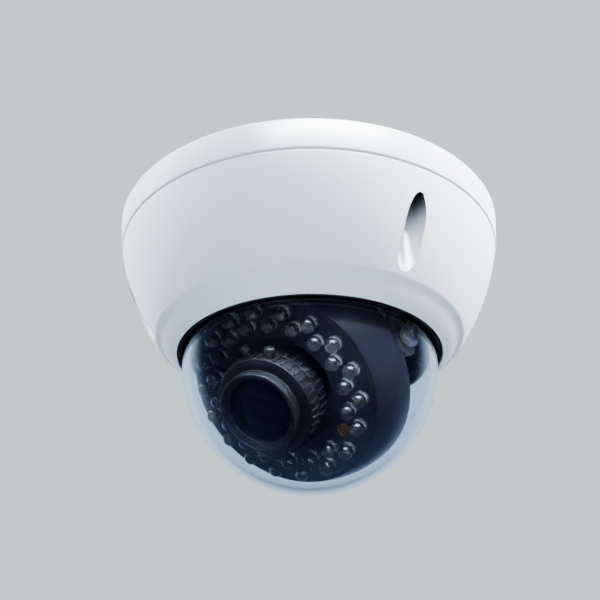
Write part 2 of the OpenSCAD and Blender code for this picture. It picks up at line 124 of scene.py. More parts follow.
class HeadSizes(bpy.types.PropertyGroup):
    tilt: turn("Tilt", "Angle of the lens below the horizon", 44)
    cap: length("Cap", "Radius of the black eyeball cap", 41.5)
    cap_wall: length("Cap wall", "Thickness of the cap", 1.6)
    cap_back: length("Cap back", "Distance of the cap's back edge in front of the tilt axis", 8)
    face: length("Face", "Distance of the lamp face in front of the tilt axis", 22.5)
    face_wall: length("Face thickness", "Thickness of the lamp face plate", 1.6)
    face_radius: length("Face radius", "Radius of the lamp face plate", 33.2)
    face_hole: length("Face hole", "Radius of the lens hole in the face plate", 19)
    lamp: length("Lamp", "Radius of an infra-red lamp", 2.5)
    lamp_tip: length("Lamp dome", "Distance of a lamp dome's centre in front of the tilt axis", 25.6)
    outer_ring: length("Outer ring", "Radius of the outer ring of lamps", 29.5)
    inner_ring: length("Inner ring", "Radius of the inner ring of lamps", 25.2)
    ring_lamps: IntProperty(name="Lamps", description="Lamps in each ring", default=18)
    lamp_turn: turn("Lamp turn", "Direction of the first lamp", 40.3)
    photocell_place: IntProperty(
        name="Photocell place", description="Place in the inner ring that the photocell takes", default=13
    )


class LensSizes(bpy.types.PropertyGroup):
    barrel: length("Barrel", "Radius of the rear barrel", 14)
    core: length("Core", "Radius that the grip rings turn on", 12.4)
    grip: length("Grip", "Radius of the zoom and focus rings", 17.8)
    grip_width: length("Grip width", "Width of the zoom and focus rings", 5.6)
    zoom_place: length("Zoom place", "Distance of the zoom ring in front of the tilt axis", 23.8)
    focus_place: length("Focus place", "Distance of the focus ring in front of the tilt axis", 29.9)
    front_place: length("Front place", "Distance of the front ring in front of the tilt axis", 36.3)
    front: length("Front", "Radius of the front ring", 13.8)
    front_length: length("Front length", "Length of the front ring", 4.1)
    glass: length("Glass", "Radius of the front glass", 11.2)
    ribs: IntProperty(name="Ribs", description="Ribs round a grip ring", default=40)
    zoom_turn: turn("Zoom turn", "Direction of the zoom ring's lever", 100)
    focus_turn: turn("Focus turn", "Direction of the focus ring's lever", 60)


class StageSizes(bpy.types.PropertyGroup):
    distance: length("Distance", "From the ceiling face to the camera", 389.61)
    azimuth: turn("Azimuth", "Camera's direction from -Y towards +X", 36.3)
    below: turn("Below", "Camera's angle below the ceiling face", 33.19)
    pitch: turn("Pitch", "Upward look of the camera", 29.6)
    yaw: turn("Yaw", "Sideways look of the camera", -0.61)
    roll: turn("Roll", "Roll of the camera", -0.25)
    lens: FloatProperty(name="Lens", description="Focal length in millimetres", default=59.29)
    floor_depth: FloatProperty(name="Floor", description="Depth of the floor below the ceiling", default=2.4)
    floor_size: FloatProperty(name="Floor size", description="Half the width of the floor", default=1.1)
    backdrop: colour("Backdrop", "Colour of the plain backdrop", (0.82, 1.0, 1.0))
    backdrop_light: FloatProperty(name="Backdrop light", description="Its brightness", default=1.15)
    behind: colour("Behind", "Colour of the light that comes through the bubble", (0.55, 0.75, 1.0))
    behind_light: FloatProperty(name="Light behind", description="Brightness of that light", default=1.5)
    panel: colour("Panel", "Colour of the soft panel", (0.86, 0.93, 1.0))
    panel_light: FloatProperty(name="Panel light", description="Brightness of the soft panel", default=12)
    dusk: colour("Dusk", "Colour between the dark room and the backdrop", (0.05, 0.08, 0.19))
    dark: colour("Dark", "Colour of the dark room", (0.010, 0.012, 0.022))


class Finishes(bpy.types.PropertyGroup):
    paint: colour("Paint", "White paint of the base and cover", (0.80, 0.83, 0.87))
    black: colour("Black", "Black mouldings", (0.012, 0.012, 0.014))
    gloss: colour("Gloss black", "Glossy black of the eyeball", (0.005, 0.005, 0.008))
    clear: colour("Clear", "Tint of the clear bubble", (0.88, 0.94, 1.0))
    board: colour("Board", "Green of the circuit boards", (0.012, 0.11, 0.045))


GROUPS = {
    "dome_housing": HousingSizes,
    "dome_bubble": BubbleSizes,
    "dome_head": HeadSizes,
    "dome_lens": LensSizes,
    "dome_stage": StageSizes,
    "dome_finishes": Finishes,
}


def sizes(name):
    return getattr(bpy.context.scene, "dome_" + name)


# Shader expressions


class Signal:
    """A shader socket that takes part in Python sums."""

    def __init__(self, recipe, socket):
        self.recipe = recipe
        self.socket = socket

    def _sum(self, operation, first, second):
        return self.recipe.node("ShaderNodeMath", {"operation": operation}, {0: first, 1: second})

    def __add__(self, other):
        return self._sum("ADD", self, other)

    __radd__ = __add__

    def __sub__(self, other):
        return self._sum("SUBTRACT", self, other)

    def __rsub__(self, other):
        return self._sum("SUBTRACT", other, self)

    def __mul__(self, other):
        return self._sum("MULTIPLY", self, other)

    __rmul__ = __mul__

    def above(self, limit):
        return self._sum("GREATER_THAN", self, limit)

    def fade(self, start, end):
        """Rises smoothly from 0 to 1 between two values."""
        return self.recipe.node(
            "ShaderNodeMapRange", {"interpolation_type": "SMOOTHSTEP"}, {0: self, 1: start, 2: end}
        )


class Recipe:
    """The nodes of one finish, or of the world."""

    def __init__(self, owner):
        self.owner = owner
        owner.use_nodes = True
        self.tree = owner.node_tree
        self.shader = self.tree.nodes.get("Principled BSDF")

    def node(self, kind, settings=None, inputs=None, output=0):
        made = self.tree.nodes.new(kind)
        for key, value in (settings or {}).items():
            if key == "stops":
                self._stops(made.color_ramp, value)
            else:
                setattr(made, key, value)
        for key, value in (inputs or {}).items():
            self.feed(made.inputs[key], value)
        return Signal(self, made.outputs[output])

    def _stops(self, ramp, stops):
        for _ in stops[2:]:
            ramp.elements.new(0.5)
        for element, (place, shade) in zip(ramp.elements, stops):
            element.position = place
            element.color = (*shade, 1) if isinstance(shade, tuple) else (shade, shade, shade, 1)

    def feed(self, socket, value):
        if isinstance(value, Signal):
            self.tree.links.new(value.socket, socket)
        elif hasattr(socket.default_value, "__len__") and not hasattr(value, "__len__"):
            socket.default_value = [value] * len(socket.default_value)
        elif hasattr(value, "__len__") and len(value) == 3 and len(socket.default_value) == 4:
            socket.default_value = (*value, 1)
        else:
            socket.default_value = value

    def set(self, **inputs):
        """Sets the shader's own sockets, whose names are written with _ for a space."""
        for key, value in inputs.items():
            self.feed(self.shader.inputs[key.replace("_", " ")], value)

    def place(self):
        return self.node("ShaderNodeTexCoord", output="Object")

    def stretched(self, scale):
        return self.node("ShaderNodeMapping", {}, {"Vector": self.place(), "Scale": scale})

    def noise(self, scale, detail=2.0, roughness=0.5, vector=None):
        return self.node(
            "ShaderNodeTexNoise", {},
            {"Vector": vector or self.place(), "Scale": scale, "Detail": detail, "Roughness": roughness},
            output="Fac",
        )

    def cells(self, scale, feature="F1"):
        """Distance from the middles or the edges of cells."""
        return self.node(
            "ShaderNodeTexVoronoi", {"feature": feature},
            {"Vector": self.place(), "Scale": scale}, output="Distance",
        )

    def ramp(self, signal, stops):
        return self.node("ShaderNodeValToRGB", {"stops": stops}, {"Fac": signal}, output="Color")

    def blend(self, share, first, second):
        return self.node(
            "ShaderNodeMix", {"data_type": "RGBA"}, {0: share, 6: first, 7: second}, output=2
        )

    def bump(self, height, strength, depth):
        return self.node(
            "ShaderNodeBump", {}, {"Height": height, "Strength": strength, "Distance": depth}, output="Normal"
        )


def tinted(shade, factor, limit=1.0):
    """A colour made lighter or darker, kept below a limit unless that is None."""
    return tuple(channel * factor if limit is None else min(limit, channel * factor) for channel in shade)


# Finishes, one function for each of the record's material slots


def housing_paint(recipe):
    """Satin white powder paint: a fine orange peel, a little dust, and painted shade, a dark fade up the
    screw wells that stands in for the shade deep in the recesses.
    """
    paint = sizes("finishes").paint
    peel = recipe.noise(1300, 2)
    slow = recipe.noise(22, 2)
    dust = recipe.noise(420, 4, 0.7).above(0.69)
    shade = recipe.blend(slow, tinted(paint, 0.985), tinted(paint, 1.012))
    depth = recipe.node("ShaderNodeSeparateXYZ", {}, {"Vector": recipe.place()}, output="Z")
    # Painted shade: the marked recess walls fade to near black towards the screw seats, in place of the shade
    # deep in the recesses
    well_shade = recipe.node("ShaderNodeAttribute", {"attribute_name": "screw_well"}, output="Fac")
    shade = recipe.blend(well_shade * depth.fade(WELL_SHADE_START, WELL_SHADE_FULL), shade, tinted(paint, 0.02))
    recipe.set(
        Base_Color=recipe.blend(dust * 0.06, shade, tinted(paint, 0.7)),
        Roughness=slow * 0.08 + 0.3,
        Normal=recipe.bump(peel, 0.12, 0.00012),
    )


def plain_black(recipe, shade, low_rough, spread, grain, strength):
    """A black surface with grain in its height and its gloss."""
    grit = recipe.noise(grain, 3, 0.6)
    slow = recipe.noise(45, 2)
    recipe.set(
        Base_Color=recipe.blend(slow, tinted(shade, 0.8), tinted(shade, 1.4)),
        Roughness=grit * spread + slow * 0.06 + low_rough,
        Normal=recipe.bump(grit, strength, 0.00012),
    )


def black_finish(shade, low_rough, spread, grain, strength, specular=0.3):
    """Makes the maker of one black finish. Its shade is a colour, or a name in Finishes and a factor."""
    def make(recipe):
        named = isinstance(shade[0], str)
        tint = tinted(getattr(sizes("finishes"), shade[0]), shade[1]) if named else shade
        plain_black(recipe, tint, low_rough, spread, grain, strength)
        recipe.set(Specular_IOR_Level=specular)
    return make


BLACKS = {
    "liner_black": black_finish(("black", 1), 0.5, 0.12, 1800, 0.25),
    "carrier_black": black_finish(("black", 1), 0.4, 0.1, 1500, 0.2),
    "gloss_black": black_finish(("gloss", 1), 0.16, 0.05, 600, 0.03, 0.12),
    "lens_black": black_finish(("gloss", 0.6), 0.45, 0.12, 2400, 0.2, 0.07),
    "board_black": black_finish((0.01, 0.01, 0.012), 0.35, 0.1, 900, 0.1),
    "chip_black": black_finish((0.02, 0.02, 0.022), 0.45, 0.15, 3000, 0.3),
    "seal_black": black_finish((0.008, 0.008, 0.009), 0.62, 0.15, 1200, 0.3),
    "bracket_black": black_finish((0.012, 0.012, 0.014), 0.35, 0.12, 1600, 0.2),
}


def seal_grey(recipe):
    grit = recipe.noise(1500, 3)
    recipe.set(
        Base_Color=recipe.blend(grit, (0.42, 0.44, 0.46), (0.5, 0.52, 0.54)),
        Roughness=grit * 0.1 + 0.6,
        Normal=recipe.bump(grit, 0.2, 0.0001),
    )


def clear_dome(recipe):
    """Polished clear plastic with faint wiping marks."""
    smear = recipe.noise(60, 3, 0.6, recipe.stretched((1, 1, 4)))
    recipe.set(
        Base_Color=sizes("finishes").clear,
        Roughness=smear * 0.015,
        Transmission_Weight=1.0,
        IOR=1.49,
        Specular_IOR_Level=0.3,
    )
    let_lamps_through(recipe, sizes("finishes").clear)


def let_lamps_through(recipe, tint):
    """Lets light from the lamps pass straight through a clear shell."""
    clear = recipe.node("ShaderNodeBsdfTransparent", {}, {"Color": tint})
    shadow = recipe.node("ShaderNodeLightPath", output="Is Shadow Ray")
    body = Signal(recipe, recipe.shader.outputs["BSDF"])
    mixed = recipe.node("ShaderNodeMixShader", {}, {0: shadow, 1: body, 2: clear})
    recipe.tree.links.new(mixed.socket, recipe.tree.nodes["Material Output"].inputs["Surface"])


def lamp_clear(recipe):
    """Clear lamp resin with a faint flow in it."""
    flow = recipe.noise(500, 2)
    recipe.set(
        Base_Color=recipe.blend(flow, (0.9, 0.92, 0.96), (0.96, 0.97, 1.0)),
        Roughness=flow * 0.02 + 0.01,
        Transmission_Weight=1.0,
        IOR=1.5,
        Coat_Weight=1.0,
        Coat_Roughness=0.2,
    )
    let_lamps_through(recipe, (0.95, 0.96, 1.0))


def lens_glass(recipe):
    """Dark coated glass: deep violet in the middle, a little greener at the rim."""
    rim = recipe.node("ShaderNodeLayerWeight", {}, {"Blend": 0.35}, output="Facing")
    recipe.set(
        Base_Color=recipe.blend(rim, (0.002, 0.001, 0.006), (0.002, 0.008, 0.006)),
        Roughness=recipe.noise(200, 2) * 0.02 + 0.015,
        Specular_IOR_Level=0.35,
        Specular_Tint=(0.65, 0.6, 1.0),
    )


def filter_tint(recipe):
    recipe.set(
        Base_Color=recipe.blend(recipe.noise(300, 2), (0.5, 0.06, 0.1), (0.62, 0.12, 0.2)),
        Roughness=0.04,
        Transmission_Weight=0.6,
        IOR=1.5,
    )


def metal(recipe, light, dark, rough, spread, stretch, scale, strength):
    """A metal with fine marks that run along the axis with the smallest stretch."""
    marks = recipe.noise(scale, 3, 0.65, recipe.stretched(stretch))
    slow = recipe.noise(40, 2)
    recipe.set(
        Base_Color=recipe.blend(slow, dark, light),
        Metallic=1.0,
        Roughness=marks * spread + rough,
        Normal=recipe.bump(marks, strength, 0.00005),
    )


def screw_black(recipe):
    """Black oxide on steel: dark, a little metallic and lightly oiled."""
    marks = recipe.noise(1700, 3)
    recipe.set(
        Base_Color=recipe.blend(marks, (0.012, 0.012, 0.014), (0.03, 0.03, 0.034)),
        Metallic=0.6,
        Roughness=marks * 0.15 + 0.3,
        Normal=recipe.bump(marks, 0.15, 0.00005),
    )


def screw_steel(recipe):
    metal(recipe, (0.7, 0.7, 0.71), (0.56, 0.56, 0.58), 0.2, 0.14, (1, 1, 1), 1700, 0.15)


def brass_post(recipe):
    metal(recipe, (0.78, 0.6, 0.28), (0.62, 0.45, 0.18), 0.25, 0.15, (1, 1, 8), 900, 0.2)


def copper_coil(recipe):
    """Fine lacquered wire laid side by side."""
    wire = recipe.node(
        "ShaderNodeTexWave", {"bands_direction": "X"},
        {"Vector": recipe.place(), "Scale": 900.0, "Distortion": 0.4}, output="Fac",
    )
    recipe.set(
        Base_Color=recipe.blend(wire, (0.2, 0.06, 0.025), (0.6, 0.25, 0.1)),
        Metallic=0.8,
        Roughness=0.35,
        Normal=recipe.bump(wire, 0.6, 0.0001),
    )


def photocell_face(recipe):
    """Dark resin over a meander track."""
    track = recipe.node(
        "ShaderNodeTexWave", {"bands_direction": "Z", "wave_profile": "SIN"},
        {"Vector": recipe.place(), "Scale": 600.0, "Distortion": 3.0}, output="Fac",
    )
    recipe.set(
        Base_Color=recipe.blend(track.above(0.55), (0.035, 0.014, 0.006), (0.008, 0.004, 0.003)),
        Roughness=0.18,
        Normal=recipe.bump(track, 0.15, 0.0001),
    )


def board_green(recipe):
    """Green solder mask over raised copper tracks, with small vias."""
    mask = sizes("finishes").board
    copper = recipe.ramp(recipe.cells(330.0, "DISTANCE_TO_EDGE"), [(0.0, 1.0), (0.06, 1.0), (0.09, 0.0)])
    dots = recipe.ramp(recipe.cells(420.0), [(0.0, 1.0), (0.12, 1.0), (0.16, 0.0)])
    shade = recipe.blend(copper, mask, tinted(mask, 1.9))
    recipe.set(
        Base_Color=recipe.blend(dots, shade, (0.5, 0.5, 0.48)),
        Roughness=recipe.noise(300, 2) * 0.15 + 0.3,
        Normal=recipe.bump(copper, 0.3, 0.0001),
    )


def plug_ivory(recipe):
    grit = recipe.noise(900, 3)
    recipe.set(
        Base_Color=recipe.blend(grit, (0.66, 0.63, 0.52), (0.74, 0.71, 0.6)),
        Roughness=grit * 0.12 + 0.42,
        Subsurface_Weight=0.05,
        Normal=recipe.bump(grit, 0.15, 0.0001),
    )


def pouch_paper(recipe):
    """Fibre paper with a pressed dot pattern."""
    fibre = recipe.noise(700, 5, 0.7)
    dots = recipe.cells(800.0)
    recipe.set(
        Base_Color=recipe.blend(fibre, (0.62, 0.62, 0.6), (0.8, 0.8, 0.78)),
        Roughness=0.85,
        Normal=recipe.bump(dots + fibre, 0.5, 0.00015),
    )


FINISHES = BLACKS | {
    maker.__name__: maker
    for maker in (
        housing_paint, seal_grey, clear_dome, lamp_clear, lens_glass, filter_tint, screw_black, screw_steel,
        brass_post, copper_coil, photocell_face, board_green, plug_ivory, pouch_paper,
    )
}


MADE = {}


def finish(slot):
    """The material of a slot, made once."""
    if slot not in MADE:
        material = bpy.data.materials.new(slot)
        FINISHES[slot](Recipe(material))
        material.name = slot
        MADE[slot] = material
    return MADE[slot]


# Mesh helpers


def rounded(corners, steps=4):
    """Outline points of (radius, height, rounding) corners, each rounded by its third number."""
    points = []
    count = len(corners)
    for index, (x, y, size) in enumerate(corners):
        here = Vector((x, y))
        back = Vector(corners[index - 1][:2]) - here
        ahead = Vector(corners[(index + 1) % count][:2]) - here
        if not size:
            points.append(here)
            continue
        half = back.angle(ahead) / 2
        reach = min(size / math.tan(half), 0.45 * back.length, 0.45 * ahead.length)
        radius = reach * math.tan(half)
        centre = here + (back.normalized() + ahead.normalized()).normalized() * radius / math.sin(half)
        start = here + back.normalized() * reach - centre
        end = here + ahead.normalized() * reach - centre
        for step in range(steps + 1):
            share = step / steps
            sweep = math.pi - 2 * half
            mid = start * math.sin((1 - share) * sweep) + end * math.sin(share * sweep)
            points.append(centre + mid.normalized() * radius)
    return points


def arc(centre_x, centre_y, radius, first, last, steps):
    """Points on an arc, as unrounded corners, from one angle in degrees to another."""
    return [
        (
            centre_x + radius * math.cos(math.radians(first + (last - first) * step / steps)),
            centre_y + radius * math.sin(math.radians(first + (last - first) * step / steps)),
            0,
        )
        for step in range(steps + 1)
    ]


def stored(mesh, name):
    """Mesh data that holds the given mesh, which is freed."""
    data = bpy.data.meshes.new(name)
    mesh.to_mesh(data)
    mesh.free()
    return data


def linked(name, data):
    """A new object of some data, in the scene."""
    thing = bpy.data.objects.new(name, data)
    bpy.context.scene.collection.objects.link(thing)
    return thing


def drawn_up(mesh, height):
    """A flat mesh extruded upwards into a prism."""
    made = bmesh.ops.extrude_face_region(mesh, geom=mesh.faces[:])
    raised = [item for item in made["geom"] if isinstance(item, bmesh.types.BMVert)]
    bmesh.ops.translate(mesh, verts=raised, vec=(0, 0, height))
    bmesh.ops.recalc_face_normals(mesh, faces=mesh.faces)
    return mesh


def spun(corners, segments=96, steps=4):
    """A mesh turned round Z from a closed outline of corners."""
    mesh = bmesh.new()
    verts = [mesh.verts.new((max(point.x, 0), 0, point.y)) for point in rounded(corners, steps)]
    edges = [mesh.edges.new((verts[index - 1], verts[index])) for index in range(len(verts))]
    bmesh.ops.spin(
        mesh, geom=verts + edges, cent=(0, 0, 0), axis=(0, 0, 1), angle=TURN, steps=segments, use_merge=True
    )
    bmesh.ops.remove_doubles(mesh, verts=mesh.verts, dist=1e-7)
    bmesh.ops.dissolve_degenerate(mesh, edges=mesh.edges, dist=1e-7)
    loose = [edge for edge in mesh.edges if not edge.link_faces]
    bmesh.ops.delete(mesh, geom=loose, context="EDGES")
    bmesh.ops.recalc_face_normals(mesh, faces=mesh.faces)
    return mesh


def slab(low_corner, high_corner, edge=0.0, segments=2):
    """A box between two corners with its edges rounded."""
    mesh = bmesh.new()
    size = Vector(high_corner) - Vector(low_corner)
    middle = (Vector(high_corner) + Vector(low_corner)) / 2
    bmesh.ops.create_cube(mesh, size=1, matrix=Matrix.Translation(middle) @ Matrix.Diagonal((*size, 1)))
    if edge:
        bmesh.ops.bevel(
            mesh, geom=mesh.edges[:] + mesh.verts[:], offset=edge, segments=segments, profile=0.5,
            affect="EDGES", material=-1,
        )
    return mesh


def racetrack(radius, inside, outside, bottom, top, segments=64):
    """An upright prism with round ends that runs outwards along X."""
    mesh = bmesh.new()
    bmesh.ops.create_circle(mesh, cap_ends=True, radius=radius, segments=segments)
    for vert in mesh.verts:
        vert.co.x += outside if vert.co.x > 0 else inside
        vert.co.z = bottom
    return drawn_up(mesh, top - bottom)


def peg(radius, bottom, top, segments=48):
    """An upright cylinder with its ends closed."""
    mesh = bmesh.new()
    bmesh.ops.create_cone(
        mesh, cap_ends=True, radius1=radius, radius2=radius, depth=top - bottom, segments=segments,
        matrix=Matrix.Translation((0, 0, (top + bottom) / 2)),
    )
    return mesh


def placed(mesh, *matrices):
    """One mesh that holds a copy of the given one under each matrix."""
    source = stored(mesh, "source")
    whole = bmesh.new()
    for matrix in matrices:
        start = len(whole.verts)
        whole.from_mesh(source)
        whole.verts.ensure_lookup_table()
        fresh = whole.verts[start:]
        bmesh.ops.transform(whole, matrix=matrix, verts=fresh)
    bpy.data.meshes.remove(source)
    return whole


def joined(*meshes):
    """One mesh that holds all the given ones."""
    whole = bmesh.new()
    for mesh in meshes:
        source = stored(mesh, "source")
        whole.from_mesh(source)
        bpy.data.meshes.remove(source)
    return whole


def around(count, radius, start=0.0):
    """Matrices for places round Z."""
    return [
        Matrix.Rotation(start + TURN * index / count, 4, "Z") @ Matrix.Translation((radius, 0, 0))
        for index in range(count)
    ]


def lens_space():
    """Turns +Z into the lens direction and moves the origin to the tilt axis."""
    head = sizes("head")
    drop = Matrix.Translation((0, 0, -sizes("bubble").centre_depth))
    return drop @ Matrix.Rotation(math.pi / 2 + head.tilt, 4, "X")


def carved(mesh, tool, operation="DIFFERENCE"):
    """The first mesh cut by, joined with or kept inside the second."""
    body = linked("body_blank", stored(mesh, "body_blank"))
    cutter = linked("cutter", stored(tool, "cutter"))
    cut = body.modifiers.new("cut", "BOOLEAN")
    cut.operation = operation
    cut.solver = "EXACT"
    cut.object = cutter
    bpy.context.view_layer.update()
    result = bmesh.new()
    result.from_object(body, bpy.context.evaluated_depsgraph_get())
    for thing in (body, cutter):
        data = thing.data
        bpy.data.objects.remove(thing)
        bpy.data.meshes.remove(data)
    return result


def piece(mesh, name, body, slot, replaced=(), sharp=32, bevel=0.0):
    """Makes a finished piece of a mesh: its material, its smooth shading and the body that it rides on."""
    data = stored(mesh, name)
    data.materials.append(finish(slot))
    data.shade_smooth()
    data.set_sharp_from_angle(angle=math.radians(sharp))
    thing = linked(name, data)
    if bevel:
        rounding = thing.modifiers.new("edges", "BEVEL")
        rounding.width = bevel
        rounding.segments = 2
        rounding.limit_method = "ANGLE"
        rounding.angle_limit = math.radians(40)
        rounding.use_clamp_overlap = True
        rounding.harden_normals = True
    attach(thing, body)
    if replaced:
        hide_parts(*replaced)
    return thing


def head_piece(mesh, name, slot, replaced=(), sharp=32, bevel=0.0):
    """A finished piece of the lens head, from a mesh drawn along the lens."""
    bmesh.ops.transform(mesh, matrix=lens_space(), verts=mesh.verts)
    return piece(mesh, name, "lens_head", slot, replaced, sharp, bevel)


# Pieces


def screw_places(circle=None, turned=0.0):
    """Where the three cover screws, or what goes with them, stand."""
    housing = sizes("housing")
    return around(3, housing.screw_circle if circle is None else circle, housing.screw_turn + turned)


def side_radius(depth):
    """Radius of the cover's bowed side at a depth below the ceiling."""
    housing = sizes("housing")
    rim_radius = high("base_casting").x - housing.rim_inset
    rim_depth = -high("cover_shell").z
    reach = math.sqrt(housing.bow ** 2 - (rim_depth + housing.bow_rise) ** 2)
    return rim_radius - reach + math.sqrt(housing.bow ** 2 - (depth + housing.bow_rise) ** 2)


def side_points(first, last, steps, inset):
    depths = [first + (last - first) * step / steps for step in range(steps + 1)]
    return [(side_radius(depth) - inset, -depth, 0) for depth in depths]


def crown_points(steps=8):
    """The crowned ring between the cover's shoulder and its mouth."""
    housing = sizes("housing")
    start = Vector((housing.shoulder - 0.6 * MM, -housing.shoulder_depth - housing.shoulder_drop - 0.55 * MM))
    end = Vector((housing.mouth + 0.4 * MM, low("cover_shell").z + 0.35 * MM))
    along = (end - start).normalized()
    outwards = Vector((-along.y, along.x)) * -1
    points = []
    for step in range(steps + 1):
        share = step / steps
        point = start.lerp(end, share) + outwards * (-0.3 * MM * math.sin(math.pi * share))
        points.append((point.x, point.y, 0))
    return points


def cover_outline():
    housing = sizes("housing")
    rim = -high("cover_shell").z
    side = side_points(rim, housing.shoulder_depth - MM, 44, 0)
    side[0] = (side[0][0], side[0][1], housing.edge)
    step = [
        (side_radius(housing.shoulder_depth), -housing.shoulder_depth, 2.2 * MM),
        (housing.shoulder, -housing.shoulder_depth - housing.shoulder_drop, 1.6 * MM),
    ]
    mouth = low("cover_shell").z
    lip = [(housing.mouth, mouth, housing.edge), (housing.mouth, -housing.seat_depth, 0.2 * MM)]
    seat = housing.seat_depth
    inside = [
        (50.6 * MM, -seat, 0), (50.6 * MM, -seat + 2.1 * MM, 0.3 * MM), (54.2 * MM, -45.3 * MM, 0),
    ] + side_points(44 * MM, rim, 20, housing.wall)
    return side + step + crown_points() + lip + inside


def mark_wells(mesh, turns):
    """Marks the walls of the screw recesses, which get painted shade that darkens towards the screws."""
    housing = sizes("housing")
    marks = mesh.attributes.new("screw_well", "FLOAT", "FACE")
    for face, mark in zip(mesh.polygons, marks.data):
        for turn in turns:
            spot = turn.inverted() @ face.center
            along = min(max(spot.x, housing.recess_in), housing.recess_out)
            if math.hypot(spot.x - along, spot.y) < housing.recess + 0.05 * MM:
                mark.value = 1.0


class DOME_OT_cover(bpy.types.Operator):
    """Make the cast cover with its three screw recesses"""

    bl_idname = "dome.cover"
    bl_label = "Cover"

    def execute(self, context):
        housing = sizes("housing")
        rim = -high("cover_shell").z
        turns = screw_places(0)
        shell = spun(cover_outline(), 256)
        inner = [(0, -rim - 0.2 * MM, 0)]
        inner += side_points(rim + 0.2 * MM, housing.shoulder_depth - MM, 20, 0.6 * MM)
        envelope = spun(inner + [(0, -housing.shoulder_depth + MM, 0)], 128)
        wide = housing.recess + 2 * MM
        towers = placed(
            racetrack(wide, housing.recess_in, housing.recess_out, -housing.shoulder_depth, -rim), *turns
        )
        shell = carved(shell, carved(towers, envelope, "INTERSECT"), "UNION")
        slots = placed(
            racetrack(housing.recess, housing.recess_in, housing.recess_out, -0.06, -housing.recess_floor),
            *turns,
        )
        shell = carved(shell, slots)
        holes = placed(peg(2.3 * MM, -housing.recess_floor - MM, 0), *screw_places())
        shell = carved(shell, holes)
        cover = piece(shell, "cast_cover", "cover", "housing_paint", ("cover_shell",), 30, 0.25 * MM)
        # Marks the recess walls where the housing paint gets painted shade towards the screws
        mark_wells(cover.data, turns)
        return {"FINISHED"}


class DOME_OT_base(bpy.types.Operator):
    """Make the cast base with its screw posts, ceiling screw holes and cable inlet"""

    bl_idname = "dome.base"
    bl_label = "Base"

    def execute(self, context):
        housing = sizes("housing")
        radius = high("base_casting").x
        foot = -high("base_seal").z
        inner = radius - housing.taper - housing.wall
        body = spun([
            (0, 0, 0), (radius, 0, 0.7 * MM), (radius - housing.taper, -foot, housing.edge),
            (inner, -foot, 0.3 * MM), (inner, -housing.plate, MM), (0, -housing.plate, 0),
        ], 256)
        post_foot = low("base_casting").z
        posts = placed(peg(4.5 * MM, post_foot, -housing.plate + 0.3 * MM), *screw_places())
        body = carved(body, posts, "UNION")
        rib = slab(
            (housing.screw_circle + 4 * MM, -MM, -foot + 1.5 * MM),
            (inner + 0.6 * MM, MM, -housing.plate + 0.4 * MM),
        )
        body = carved(body, placed(rib, *screw_places(0)), "UNION")
        cuts = joined(
            placed(peg(2.06 * MM, -0.014, -3.5 * MM), *screw_places()),
            placed(
                peg(housing.ceiling_hole, -0.01, 0.01), *screw_places(housing.ceiling_circle, math.pi / 3)
            ),
            peg(housing.inlet, -0.01, 0.01, 96),
        )
        body = carved(body, cuts)
        piece(body, "cast_base", "base", "housing_paint", ("base_casting",), 30, 0.2 * MM)
        seal_top, seal_low = high("base_seal"), low("base_seal")
        seal = spun([
            (seal_top.x, seal_top.z, 0.1 * MM), (seal_top.x, seal_low.z, 0.15 * MM),
            (inner, seal_low.z, 0.1 * MM), (inner, seal_top.z, 0.1 * MM),
        ], 192, 2)
        piece(seal, "rim_seal", "base", "seal_grey", ("base_seal",))
        return {"FINISHED"}


def screw_head(radius, height, socket, depth, segments=48):
    """A domed screw head with a six-lobed socket. It hangs below z = 0."""
    mesh = spun([
        (0, 0, 0), (radius, 0, 0.2 * MM), (radius, -height * 0.45, 0.5 * height),
        (radius * 0.6, -height, 0.2 * MM), (0, -height, 0),
    ], segments)
    star = bmesh.new()
    bmesh.ops.create_circle(star, cap_ends=True, radius=socket, segments=48)
    for vert in star.verts:
        lobes = 1 + 0.14 * math.cos(6 * math.atan2(vert.co.y, vert.co.x))
        vert.co = Vector((vert.co.x * lobes, vert.co.y * lobes, -height - MM))
    return carved(mesh, drawn_up(star, MM + depth))


class DOME_OT_cover_screws(bpy.types.Operator):
    """Make the captive cover screws and their washers"""

    bl_idname = "dome.cover_screws"
    bl_label = "Cover screws"

    def execute(self, context):
        head_top = low("screw_seals").z
        tip = high("cover_screws").z
        head = screw_head(3.5 * MM, head_top - low("cover_screws").z, 1.5 * MM, 1.5 * MM)
        bmesh.ops.translate(head, verts=head.verts, vec=(0, 0, head_top))
        shank = spun([
            (0, head_top + 0.1 * MM, 0), (2 * MM, head_top + 0.1 * MM, 0), (2 * MM, tip, 0.6 * MM),
            (0, tip, 0),
        ], 32)
        places = screw_places()
        screws = placed(joined(head, shank), *places)
        piece(screws, "captive_screws", "cover", "screw_black", ("cover_screws",))
        seal = spun([
            (2.02 * MM, head_top, 0.1 * MM), (3.5 * MM, head_top, 0.25 * MM),
            (3.5 * MM, high("screw_seals").z, 0.25 * MM), (2.02 * MM, high("screw_seals").z, 0.1 * MM),
        ], 32, 2)
        piece(placed(seal, *places), "screw_washers", "cover", "seal_black", ("screw_seals",))
        return {"FINISHED"}


